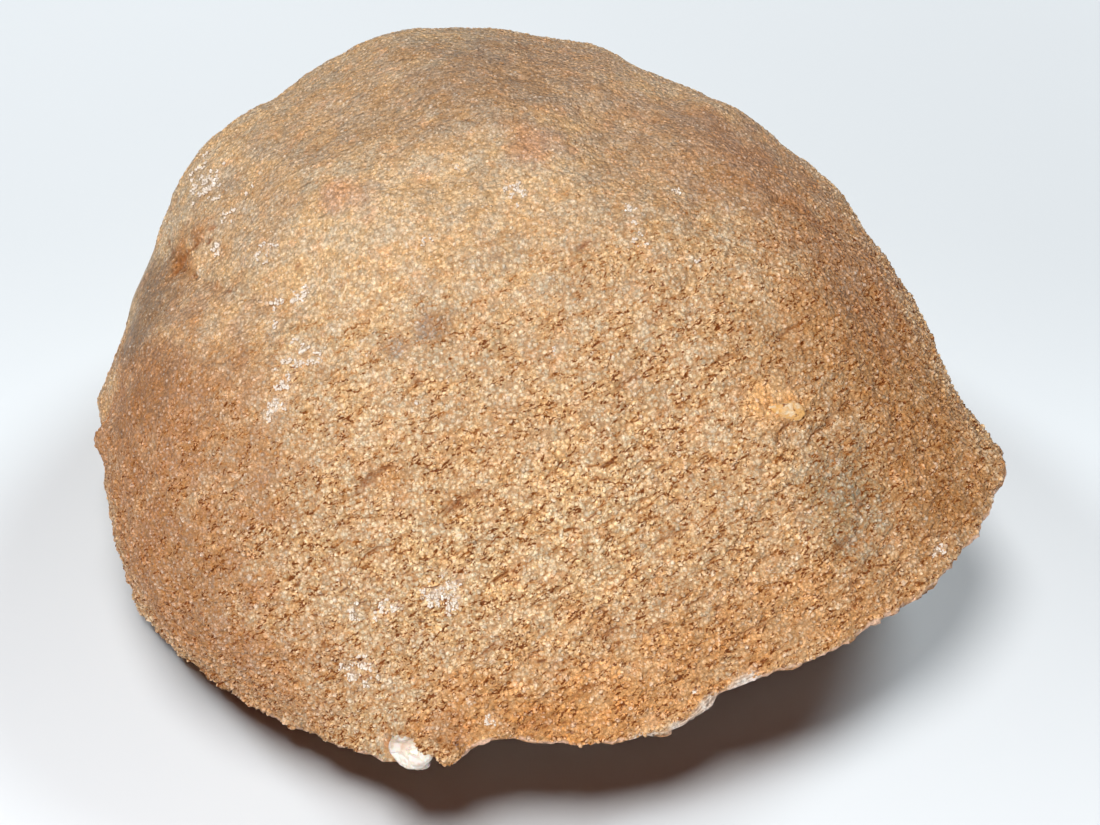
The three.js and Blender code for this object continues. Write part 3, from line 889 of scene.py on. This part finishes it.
def add_lump(material):
    """The milky lump in the rim: broken white faces, with a scallop of thin shells at its upper left."""
    low, high = (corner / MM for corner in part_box("white_quartz_lump"))
    cad = welded_copy("white_quartz_lump")
    squeezed = coordinates(cad)
    squeezed[:, 0] = low.x + (squeezed[:, 0] - low.x) * LUMP_SHARE
    move_vertices(cad, squeezed)
    fine = remeshed(cad, LUMP_VOXEL, LUMP_SHARP)
    points = coordinates(fine)
    normals = vertex_normals(fine)
    scallop = Vector((low.x + 0.22 * (high.x - low.x), low.y + 0.62 * (high.y - low.y), high.z))
    away = np.linalg.norm((points - scallop) * (0.8, 1.5, 1.0), axis=1)
    shell = smooth_step(1.15, 0.8, away)
    ring = 0.5 + 0.5 * np.cos(2 * math.pi * away / 0.42)
    height = 0.16 * noise(points, 1.6, 51) + 0.08 * noise(points, 0.5, 52)
    height += (1.0 * facets(points, 1.5, 53) + 0.35 * facets(points, 0.5, 54)) * (1 - shell)
    height += shell * (0.12 * ring ** 3 - 0.12)
    points = points + normals * np.clip(height, -0.75, 0.08)[:, None]
    points[:, 2] = np.maximum(points[:, 2], low.z)
    move_vertices(fine, points)
    store(fine, "shell", shell * (1 - ring))
    piece = add_piece("milky_lump", fine, material)
    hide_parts("white_quartz_lump")


def add_druse(crust, material):
    """Small quartz points between the large ones of the hollow."""
    centres, normals, areas = face_arrays(crust)
    facing = np.sum(normals * (HOLLOW_CENTRE - centres), axis=1)
    share = np.where(facing > 0, areas, 0)
    picked = random_source.choice(len(areas), DRUSE_COUNT, p=share / share.sum())
    directions = unit(normals[picked] + 0.35 * random_source.normal(size=(len(picked), 3)))
    corner_pick = random_source.dirichlet((1, 1, 1), len(picked))
    corners = np.array([[crust.vertices[v].co for v in crust.polygons[i].vertices[:3]] for i in picked])
    places = np.sum(corners * corner_pick[:, :, None], axis=1)
    radii = random_source.uniform(*DRUSE_RADII, len(picked))
    lengths = radii * random_source.uniform(1.3, 2.4, len(picked))
    add_shards("druse_points", places, directions, radii, lengths, material)


# ---------------- materials


class Graph:
    """One material's nodes. Places are in mm; each call returns the socket of its result."""

    def __init__(self, name):
        self.material = bpy.data.materials.new(name)
        self.material.use_nodes = True
        self.nodes = self.material.node_tree.nodes
        self.links = self.material.node_tree.links
        self.shader = self.nodes["Principled BSDF"]
        texture_place = self.nodes.new("ShaderNodeTexCoord").outputs["Object"]
        scaled = self.add("ShaderNodeVectorMath", {0: texture_place, "Scale": 1 / MM}, operation="SCALE")
        self.place = scaled.outputs[0]

    def add(self, kind, inputs, **settings):
        made = self.nodes.new(kind)
        for key, value in settings.items():
            setattr(made, key, value)
        for key, value in inputs.items():
            self.feed(made.inputs[key], value)
        return made

    def feed(self, socket, value):
        if isinstance(value, bpy.types.NodeSocket):
            self.links.new(value, socket)
        elif socket.type == "RGBA":
            socket.default_value = (*value, 1)
        else:
            socket.default_value = value

    def stored(self, name, output="Fac"):
        return self.add("ShaderNodeAttribute", {}, attribute_name=name).outputs[output]

    def noise(self, size, detail=2.0, roughness=0.5, warp=0.0):
        inputs = {"Vector": self.place, "Scale": 1 / size, "Detail": detail}
        inputs.update({"Roughness": roughness, "Distortion": warp})
        return self.add("ShaderNodeTexNoise", inputs).outputs["Fac"]

    def cells(self, size, output="Distance"):
        inputs = {"Vector": self.place, "Scale": 1 / size}
        return self.add("ShaderNodeTexVoronoi", inputs).outputs[output]

    def climb(self, along, across):
        """How steeply noise in short ledges rises up and left; the sides that face down get painted shade.
        """
        outward = Vector(LEDGE_ALONG).cross(LEDGE_ACROSS)
        axes = (LEDGE_ALONG / along, LEDGE_ACROSS / across, outward / across)
        parts = [self.dot(self.place, axis) for axis in axes]
        upper = self.add("ShaderNodeCombineXYZ", dict(enumerate(parts))).outputs[0]
        step = {0: upper, 1: (0.0, -0.4, 0.0)}
        lower = self.add("ShaderNodeVectorMath", step, operation="ADD").outputs[0]
        heights = []
        for place in (upper, lower):
            inputs = {"Vector": place, "Scale": 1.0, "Detail": 1.5, "Distortion": 0.5}
            heights.append(self.add("ShaderNodeTexNoise", inputs).outputs["Fac"])
        return self.math("SUBTRACT", *heights), heights[0]

    def under_edge(self, along, across, width):
        """Thin wavy lines, 1 in the middle, along the sides of small ledges that face down."""
        climb, height = self.climb(along, across)
        level = self.math("ABSOLUTE", self.math("SUBTRACT", height, 0.5))
        return self.times(self.spread(level, width, 0.0), self.spread(climb, 0.01, 0.06))

    def spread(self, value, low, high, out_low=0.0, out_high=1.0):
        """The value taken from low..high to out_low..out_high with an even rise."""
        inputs = {"Value": value, "From Min": low, "From Max": high, "To Min": out_low, "To Max": out_high}
        return self.add("ShaderNodeMapRange", inputs, interpolation_type="SMOOTHSTEP").outputs["Result"]

    def math(self, operation, first, second=0.0):
        return self.add("ShaderNodeMath", {0: first, 1: second}, operation=operation).outputs[0]

    def times(self, first, second):
        return self.math("MULTIPLY", first, second)

    def mix(self, share, first, second, blend="MIX"):
        inputs = {0: share, 6: first, 7: second}
        return self.add("ShaderNodeMix", inputs, data_type="RGBA", blend_type=blend).outputs[2]

    def covered(self, colour, share, amount, second):
        """The colour with up to `amount` of the second one over it, as the share goes to 1."""
        return self.mix(self.times(share, amount), colour, second)

    def brightened(self, colour, amount):
        """The colour times a number."""
        return self.add("ShaderNodeVectorMath", {0: colour, "Scale": amount}, operation="SCALE").outputs[0]

    def bump(self, height, depth, strength=1.0, under=None, sunk=False):
        inputs = {"Height": height, "Distance": depth * MM, "Strength": strength}
        if under is not None:
            inputs["Normal"] = under
        return self.add("ShaderNodeBump", inputs, invert=sunk).outputs["Normal"]

    def dot(self, place, axis):
        inputs = {0: place, 1: tuple(axis)}
        return self.add("ShaderNodeVectorMath", inputs, operation="DOT_PRODUCT").outputs["Value"]

    def finish(self, **inputs):
        for key, value in inputs.items():
            self.feed(self.shader.inputs[key.replace("_", " ")], value)
        return self.material


def patched(graph, colour):
    """The colour with greyer, warmer and more orange patches a few grains to a few mm across."""
    patch = graph.spread(graph.noise(2.2, 5.0, 0.70), 0.37, 0.63)
    colour = graph.mix(1.0, colour, graph.mix(patch, COOL, WARM), "MULTIPLY")
    orange = graph.spread(graph.noise(1.9, 4.0, 0.66), 0.53, 0.68)
    colour = graph.covered(colour, orange, 0.45, PEACH)
    grey = graph.spread(graph.noise(3.1, 4.0, 0.68, 0.4), 0.54, 0.66)
    return graph.covered(colour, grey, 0.28, GREY), patch


# Thin lines of rust and painted shade along the sides of the ledges that face down:
RUST_AND_SHADE_LINES = ((1.25, 0.62, 0.085), (0.75, 0.40, 0.10))      # length and width of the ledges, line width


def rusted_and_shaded(graph, colour, patch):
    """The colour with rust and painted shade in short marks under the crumbs and ledges, and in the pits
    and creases.
    """
    speck = graph.noise(0.5, 3.0, 0.65)
    coarse = graph.spread(graph.stored("coarse"), 0.05, 0.75)
    broken = graph.spread(graph.noise(0.8, 3.0, 0.7), 0.38, 0.54)
    amount = graph.times(coarse, graph.times(broken, graph.spread(patch, 0.0, 0.8, 0.35, 1.0)))
    for along, across, width in RUST_AND_SHADE_LINES:
        line = graph.times(graph.under_edge(along, across, width), amount)
        colour = graph.covered(colour, graph.spread(line, 0.0, 0.45), 0.60, OCHRE)
        colour = graph.covered(colour, graph.spread(line, 0.25, 0.6), 0.95, DEEP_SHADE_RUST)
    # Rust with painted shade on the steep sides of crumbs and ledges that face down and right.
    drop = graph.stored("drop")
    colour = graph.covered(colour, graph.spread(drop, 0.0, 0.5), 0.35, OCHRE)
    colour = graph.covered(colour, graph.spread(drop, 0.5, 1.0), 0.80, DEEP_SHADE_RUST)
    # Rust with painted shade on the pits' upper walls and in the creases.
    stain = graph.times(graph.stored("pit"), graph.spread(speck, 0.35, 0.6, 0.35, 0.9))
    return graph.mix(stain, colour, RUST)


def grain_colour(graph, colour):
    """Painted highlights on the tips, painted shade with ochre at the feet, and some grains much paler,
    warmer or rustier than others.
    """
    luck = graph.stored("luck")
    rise = graph.stored("rise")
    shade = graph.mix(graph.stored("warmth"), COOL_GRAIN, WARM_GRAIN)
    colour = graph.mix(1.0, colour, shade, "MULTIPLY")
    colour = graph.brightened(colour, graph.spread(luck, 0.0, 1.0, 0.80, 1.32))
    # The tip is a painted highlight; the foot is painted shade mixed with ochre.
    tip = graph.brightened(graph.mix(0.28, colour, WHITE), 1.25)
    foot = graph.mix(0.70, colour, GAP_SHADE)
    colour = graph.mix(graph.spread(rise, 0.45, 1.0), colour, tip)
    colour = graph.mix(graph.spread(rise, 0.55, -0.25), colour, foot)
    colour = graph.covered(colour, graph.spread(luck, 0.93, 0.99), 0.4, WHITE)
    return graph.covered(colour, graph.spread(luck, 0.12, 0.02), 0.45, OCHRE)


BEAD_SIZE = 0.40                         # the finest beads of the skin, which the material draws
FINE_LEDGE = (1.15, 0.55)                # length and width of the ledges that it draws


def stone_material(name, is_grain):
    """Sandy, iron-stained skin; the grains' tips are paler than the rusty ground between them, with
    painted highlights on the tips and painted shade between the grains and beads.
    """
    graph = Graph(name)
    broad = graph.spread(graph.noise(9.0, 3.0), 0.3, 0.7, 0.93, 1.05)
    colour, patch = patched(graph, graph.brightened(graph.stored("tint", "Color"), broad))
    bead = graph.cells(BEAD_SIZE)
    bead_luck = graph.dot(graph.cells(BEAD_SIZE, "Color"), (1, 0, 0))
    # The gaps between the beads get painted shade.
    bead_gap_shade = graph.spread(bead, 0.30, 0.62)
    depth = graph.spread(graph.stored("coarse"), 0.0, 0.7, 0.35, 1.0)
    if is_grain:
        colour = grain_colour(graph, colour)
        colour = graph.covered(colour, bead_gap_shade, graph.times(depth, 0.35), GAP_SHADE)
    else:
        colour = graph.brightened(colour, graph.spread(bead_luck, 0.0, 1.0, 0.82, 1.32))
        colour = graph.covered(colour, bead_gap_shade, graph.times(depth, 0.70), GAP_SHADE)
    colour = rusted_and_shaded(graph, colour, patch)
    if not is_grain:
        colour = broken_face_colour(graph, colour)
    colour = graph.covered(colour, graph.stored("sparkle"), 0.45, WHITE)
    fleck = graph.spread(graph.noise(0.22, 2.0, 0.7), 0.32, 0.68, 0.76, 1.20)
    colour = graph.brightened(colour, fleck)
    roughness = graph.spread(graph.noise(0.3, 2.0), 0.35, 0.65, 0.42, 0.70)
    _, ledge = graph.climb(*FINE_LEDGE)
    normal = graph.bump(ledge, 0.30, 0.7)
    normal = graph.bump(graph.noise(0.16, 2.0, 0.7), 0.05, 0.8, normal)
    normal = graph.bump(bead, 0.18, 0.7, normal, sunk=True)
    return graph.finish(Base_Color=colour, Roughness=roughness, Normal=normal, Specular_IOR_Level=0.2)


# The two tones of each layer under the skin, and of the chalcedony lips; and the pale edge of each, which
# along the rim is also a painted highlight on its bevel.
SANDY = ((0.52, 0.27, 0.13), (0.48, 0.33, 0.21))
BANDS = ((0.38, 0.27, 0.19), (0.56, 0.43, 0.32))
MILKY = ((0.55, 0.42, 0.32), (0.76, 0.66, 0.56))
LIP_BANDS = ((0.50, 0.38, 0.30), (0.76, 0.64, 0.53))
RIM_EDGE, LIP_EDGE = (0.80, 0.56, 0.43), (0.86, 0.76, 0.70)


def broken_face_colour(graph, skin_colour):
    """Under the skin: sandy stone, thin grey and pale chalcedony bands, then milky quartz."""
    wave = graph.times(graph.math("SUBTRACT", graph.noise(2.6, 3.0), 0.5), 1.6)
    depth = graph.math("ADD", graph.stored("depth"), wave)
    band = graph.math("SINE", graph.times(depth, 4.4))
    banded = graph.mix(graph.spread(band, -0.6, 0.6), *BANDS)
    milky = graph.mix(graph.noise(1.2, 3.0), *MILKY)
    inner = graph.mix(graph.spread(depth, 4.2, 5.6), banded, milky)
    sandy = graph.mix(graph.spread(depth, 0.6, 1.6), *SANDY)
    cut = graph.mix(graph.spread(depth, 1.6, 2.6), sandy, inner)
    colour = graph.mix(graph.spread(graph.stored("skin"), 0.3, 0.6), cut, skin_colour)
    edge_gap = graph.stored("edge_gap")
    # A pale line along the rim: the pale broken edge, with a painted highlight on its bevel.
    colour = graph.covered(colour, graph.spread(edge_gap, 0.42, 0.16), 0.75, RIM_EDGE)
    ripple = graph.times(graph.noise(1.8, 2.0), 5.0)
    lip_band = graph.math("SINE", graph.math("ADD", graph.times(edge_gap, 24.0), ripple))
    lip = graph.mix(graph.spread(lip_band, -0.9, 0.9), *LIP_BANDS)
    lip = graph.mix(graph.spread(graph.noise(1.0, 2.0), 0.56, 0.66), lip, WHITE)
    lip = graph.mix(graph.spread(edge_gap, 0.25, 0.10), lip, LIP_EDGE)
    return graph.covered(colour, graph.stored("lip"), 0.92, lip)


def sparkle_material():
    """White, sugary quartz with glinting faces."""
    graph = Graph("white_druse")
    colour = graph.mix(graph.noise(0.6, 2.0), (0.84, 0.74, 0.62), (1.0, 0.95, 0.88))
    roughness = graph.spread(graph.noise(0.3), 0.3, 0.7, 0.12, 0.35)
    normal = graph.bump(graph.noise(0.12, 2.0), 0.02, 0.4)
    return graph.finish(Base_Color=colour, Roughness=roughness, Normal=normal, Specular_IOR_Level=0.8)


def lump_material():
    """Milky quartz: white, faintly veined, greyer in the scallop, with warm stains in its hollows."""
    graph = Graph("milky_quartz")
    vein = graph.math("SINE", graph.times(graph.noise(2.4, 1.0, 0.5, 0.6), 34.0))
    colour = graph.mix(graph.spread(vein, -0.8, 0.8), (0.80, 0.71, 0.60), (0.90, 0.87, 0.81))
    stain = graph.spread(graph.noise(1.4, 3.0, 0.6), 0.54, 0.70)
    colour = graph.covered(colour, stain, 0.55, (0.62, 0.42, 0.26))
    colour = graph.covered(colour, graph.stored("shell"), 0.65, (0.50, 0.41, 0.35))
    roughness = graph.spread(graph.noise(0.5), 0.3, 0.7, 0.25, 0.5)
    normal = graph.bump(graph.noise(0.22, 4.0, 0.65), 0.08, 0.7)
    scatter = {"Subsurface_Weight": 0.3, "Subsurface_Scale": 0.0006}
    return graph.finish(Base_Color=colour, Roughness=roughness, Normal=normal, **scatter)


def chip_material():
    """A honey-coloured crystalline chip."""
    graph = Graph("honey_quartz")
    streak = graph.spread(graph.noise(0.8, 4.0, 0.65, 0.8), 0.42, 0.66)
    colour = graph.mix(streak, (0.84, 0.47, 0.15), (0.95, 0.80, 0.56))
    colour = graph.mix(graph.spread(graph.noise(0.45, 2.0), 0.6, 0.72), colour, RUST)
    roughness = graph.spread(graph.noise(0.4), 0.3, 0.7, 0.3, 0.55)
    normal = graph.bump(graph.noise(0.35, 4.0, 0.65), 0.16, 0.9)
    return graph.finish(Base_Color=colour, Roughness=roughness, Normal=normal)


def clear_quartz_material():
    """The see-through crystals of the hollow, a little smoky, with veils inside their roots."""
    graph = Graph("clear_quartz")
    veil = graph.spread(graph.noise(3.0, 3.0), 0.4, 0.65)
    colour = graph.mix(veil, (0.97, 0.96, 0.94), (0.90, 0.84, 0.76))
    roughness = graph.spread(graph.noise(0.9, 3.0), 0.35, 0.7, 0.03, 0.16)
    normal = graph.bump(graph.noise(0.5, 2.0), 0.02, 0.25)
    smoke = graph.add("ShaderNodeVolumeAbsorption", {"Color": (0.93, 0.88, 0.82), "Density": 120.0})
    graph.links.new(smoke.outputs[0], graph.nodes["Material Output"].inputs["Volume"])
    look = {"IOR": 1.544, "Transmission_Weight": 1.0}
    return graph.finish(Base_Color=colour, Roughness=roughness, Normal=normal, **look)


# ---------------- stage, lights and camera


def add_stage(name, mesh, material):
    stage = placed(name, mesh, material)
    stage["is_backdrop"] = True
    return stage


def add_floor():
    """A plain pale table; its smooth change of tone near the stone stands in for the photo's light."""
    half = FLOOR_HALF
    corners = [(-half, -half, 0), (half, -half, 0), (half, half, 0), (-half, half, 0)]
    mesh = mesh_from(corners, [(0, 1, 2, 3)], "table")
    graph = Graph("pale_table")
    paper = graph.mix(graph.noise(40.0, 2.0), *TABLE_TONES)
    forward = graph.dot(graph.place, (0, -1, 0))
    front = graph.spread(forward, -40.0, 85.0, 0.745, 1.25)
    right = graph.spread(graph.dot(graph.place, (1, 0, 0)), -60.0, 100.0, 1.0, 0.92)
    paper = graph.brightened(paper, graph.times(front, right))
    away = graph.add("ShaderNodeVectorMath", {0: graph.place}, operation="LENGTH").outputs["Value"]
    paper = graph.mix(graph.spread(away, 92.0, 165.0), paper, TABLE_AWAY)
    return add_stage("table", mesh, graph.finish(Base_Color=paper, Roughness=0.9, Specular_IOR_Level=0.1))


def add_backdrop():
    """A pale bowl round the table, which only the camera and the clear quartz see."""
    points, faces = [], []
    for ring in range(BACKDROP_RINGS + 1):
        turn = math.pi / 2 * ring / BACKDROP_RINGS
        reach = BACKDROP_RADIUS + BACKDROP_FLARE * math.sin(turn)
        rise = BACKDROP_HEIGHT * (1 - math.cos(turn))
        for side in range(BACKDROP_SIDES):
            angle = 2 * math.pi * side / BACKDROP_SIDES
            points.append((reach * math.cos(angle), reach * math.sin(angle), rise))
            if ring:
                low, high = (ring - 1) * BACKDROP_SIDES, ring * BACKDROP_SIDES
                after = (side + 1) % BACKDROP_SIDES
                faces.append((low + side, low + after, high + after, high + side))
    graph = Graph("pale_backdrop")
    glow = {"Emission_Color": BACKDROP_COLOUR, "Emission_Strength": BACKDROP_GLOW}
    matt = {"Base_Color": (0.0, 0.0, 0.0), "Roughness": 1.0, "Specular_IOR_Level": 0.0}
    material = graph.finish(**matt, **glow)
    bowl = add_stage("backdrop", mesh_from(points, faces, "backdrop"), material)
    bowl.visible_diffuse = bowl.visible_glossy = bowl.visible_shadow = False


def direction_from(azimuth, elevation):
    """The way to a light from the stone; azimuth turns from +X towards +Y, in degrees."""
    turn, rise = math.radians(azimuth), math.radians(elevation)
    return Vector((math.cos(turn) * math.cos(rise), math.sin(turn) * math.cos(rise), math.sin(rise)))


def add_light(name, azimuth, elevation, distance, size, strength, colour, lit):
    """A round soft light that faces the stone and lights one collection; strength is about what a
    white face turned to it shows."""
    data = bpy.data.lights.new(name, "AREA")
    data.shape = "DISK"
    data.size = size * MM
    data.energy = strength * (math.pi * distance * MM) ** 2
    data.color = colour
    lamp = new_object(name, data)
    way = direction_from(azimuth, elevation)
    lamp.location = (CORE + way * distance) * MM
    lamp.rotation_mode = "QUATERNION"
    lamp.rotation_quaternion = way.to_track_quat("Z", "Y")
    lamp.light_linking.receiver_collection = lit


def add_lights(floor):
    """Three lights for the table and its shadow; a frontal light and a weak fill for the stone."""
    on_table = bpy.data.collections.new("lit_table")
    on_table.objects.link(floor)
    on_stone = bpy.data.collections.new("lit_stone")
    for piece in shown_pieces():
        on_stone.objects.link(piece)
    for light in TABLE_LIGHTS:
        add_light(*light, on_table)
    for light in STONE_LIGHTS:
        add_light(*light, on_stone)
    world = bpy.data.worlds.new("dim_room")
    bpy.context.scene.world = world
    world.use_nodes = True
    background = world.node_tree.nodes["Background"]
    background.inputs["Color"].default_value = ROOM_COLOUR
    background.inputs["Strength"].default_value = ROOM_STRENGTH


def add_camera():
    """The photograph's camera."""
    data = bpy.data.cameras.new("photo_camera")
    data.lens = LENS_MM
    data.sensor_width = SENSOR_MM
    data.clip_start, data.clip_end = 0.01, 10
    camera = new_object("photo_camera", data)
    camera.location = EYE * MM
    camera.rotation_euler = (math.pi / 2 - VIEW_ELEVATION, 0, 0)
    bpy.context.scene.camera = camera


# ---------------- the whole scene


def main():
    add_camera()
    stone, seen, pits = build_stone()
    grainy = stone_material("stone_grains", True)
    skin = (stone, seen, pits)
    sizes = (PIMPLE_SPACING * COARSER, PIMPLE_RADIUS, PIMPLE_RINGS)
    add_grains(*skin, "pimples", PIMPLE_COUNT, PIMPLE_PIECES, *sizes, grainy)
    sizes = (SAND_SPACING * COARSER, SAND_RADIUS, SAND_RINGS)
    add_grains(*skin, "sand", SAND_COUNT, SAND_PIECES, *sizes, grainy)
    add_sparkles(stone, sparkle_material())
    add_chip(seen, chip_material())
    wall = add_piece("stone_wall", stone, stone_material("stone", False))
    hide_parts("rind")
    add_lump(lump_material())
    quartz = clear_quartz_material()
    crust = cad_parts["quartz_crust"]
    crust.data.materials.clear()
    crust.data.materials.append(quartz)
    add_druse(welded_copy("quartz_crust"), quartz)
    floor = add_floor()
    add_backdrop()
    add_lights(floor)
    bpy.context.scene.view_settings.view_transform = "Standard"


main()
visual_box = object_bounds()
boxes = {"cad": cad_box, "visual": visual_box}
{key: [list(corner) for corner in box] for key, box in boxes.items()}
